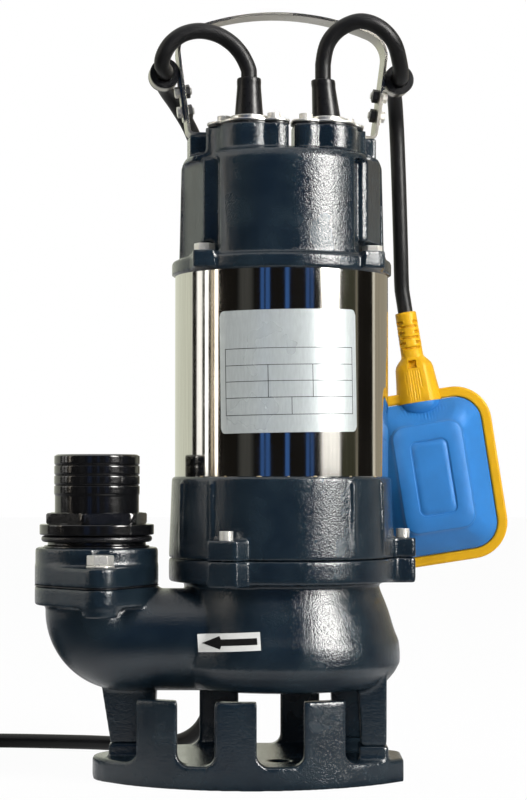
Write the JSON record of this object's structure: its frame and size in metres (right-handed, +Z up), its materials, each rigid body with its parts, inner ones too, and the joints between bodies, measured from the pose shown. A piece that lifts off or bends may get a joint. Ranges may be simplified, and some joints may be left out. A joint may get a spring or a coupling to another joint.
{
  "type": "submersible sump pump",
  "caption": "Submersible sewage pump with a strainer base, side outlet with hose tail, stainless motor shell, strip handle and a float switch on a cable.",
  "frame": {"origin": "where the motor axis meets the floor, at the underside of the strainer base", "axes": "+Z up along the motor shaft, -Y towards the front with the rating plate, outlet on the -X side, float on the +X side"},
  "size_m": [0.4775, 0.2133, 0.4387],
  "materials": {
    "enamel": "glossy dark blue-grey enamel on cast iron",
    "steel": "bright zinc or stainless fastener steel",
    "polished_steel": "polished stainless sheet",
    "strip_steel": "satin stainless strip",
    "rubber": "black rubber",
    "cable": "black rubber cable sheath",
    "hose_tail_plastic": "glossy black plastic",
    "cast_iron": "bare cast iron and lamination steel",
    "ceramic": "polished ceramic",
    "seal_carbon": "carbon and moulded housing",
    "copper": "varnished copper winding",
    "white_plastic": "white plastic can",
    "amber_plastic": "amber-yellow plastic",
    "blue_plastic": "blue plastic"
  },
  "bodies": {
    "pump": {"strainer_base": "enamel", "base_screws": "steel", "volute_casing": "enamel", "outlet_gasket": "rubber", "outlet_flange": "enamel", "outlet_bolts": "steel", "hose_tail": "hose_tail_plastic", "hose_tail_seal": "rubber", "casing_gasket": "rubber", "lower_housing": "enamel", "housing_bolts": "steel", "seal_seat": "ceramic", "lower_bearing": "steel", "stator_core": "cast_iron", "stator_windings": "copper", "motor_shell": "polished_steel", "shell_seals": "rubber", "tie_bolts": "steel", "tie_bolt_washers": "steel", "upper_bearing": "steel", "top_cover": "enamel", "capacitor": "white_plastic", "gland_gaskets": "rubber", "gland_plates": "polished_steel", "gland_bolts": "steel", "power_cable_boot": "rubber", "float_cable_boot": "rubber", "handle": "strip_steel", "handle_screws": "steel", "power_clip": "strip_steel", "float_clip": "strip_steel", "power_clip_rubber": "rubber", "float_clip_rubber": "rubber", "clip_bolts": "steel", "clip_nuts": "steel", "power_cable_loop": "cable", "power_cable_run": "cable", "power_cable_coil": "cable", "power_cable_tail": "cable", "power_plug": "rubber", "plug_pins": "steel", "float_cable_loop": "cable"},
    "rotor": {"motor_shaft": "steel", "rotor_core": "cast_iron", "impeller": "cast_iron", "impeller_nut": "steel", "seal_head": "seal_carbon", "seal_spring": "steel", "lower_bearing_inner": "steel", "upper_bearing_inner": "steel"},
    "float": {"float_cable_drop": "cable", "float_gland": "amber_plastic", "float_front": "blue_plastic", "float_back": "blue_plastic", "float_rim": "amber_plastic", "float_switch": "seal_carbon"},
    "weight_ball": {"float_weight_ball": "steel"}
  },
  "joints": [
    {"name": "rotor_spin", "type": "hinge", "parent": "pump", "child": "rotor", "pos_m": [0, 0, 0.2], "axis": [0, 0, -1], "continuous": true},
    {"name": "float_swing", "type": "hinge", "parent": "pump", "child": "float", "pos_m": [0.06748, 0.00948, 0.40176], "axis": [0.1392, -0.9903, 0], "range_deg": [0, 120]},
    {"name": "ball_roll", "type": "slide", "parent": "float", "child": "weight_ball", "axis": [-0.153, 0, 0.9882], "range_m": [0, 0.005]}
  ]
}
